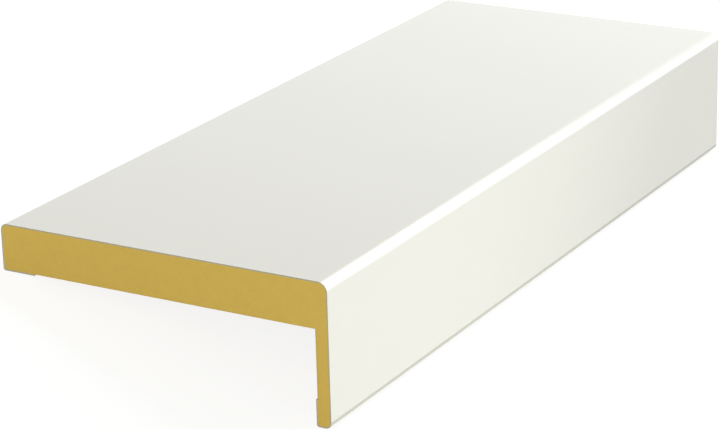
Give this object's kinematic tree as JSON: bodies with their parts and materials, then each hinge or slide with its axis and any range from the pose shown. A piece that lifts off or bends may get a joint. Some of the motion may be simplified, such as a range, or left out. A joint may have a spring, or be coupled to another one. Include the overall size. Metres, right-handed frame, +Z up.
{
  "type": "door casing",
  "caption": "Short straight length of L-section door casing, fibreboard wrapped in white foil, with a broad flat face and a thin leg for the frame's groove.",
  "frame": {"origin": "on the floor, below the middle of the stock's box", "axes": "+Y along the length, from the near cut end to the far one; +X across the face, towards the leg; +Z up, with the face on top and the stock leaning 15.3 degrees, as it comes to rest on its free edge and on the tip of its leg"},
  "size_m": [0.0848, 0.198, 0.0307],
  "materials": {
    "fibreboard": "bare medium density fibreboard, sawn and lightly sanded",
    "white_foil": "satin white decorative foil"
  },
  "bodies": {
    "root": {"fibreboard_core": "fibreboard", "foil_wrap": "white_foil"}
  },
  "joints": []
}
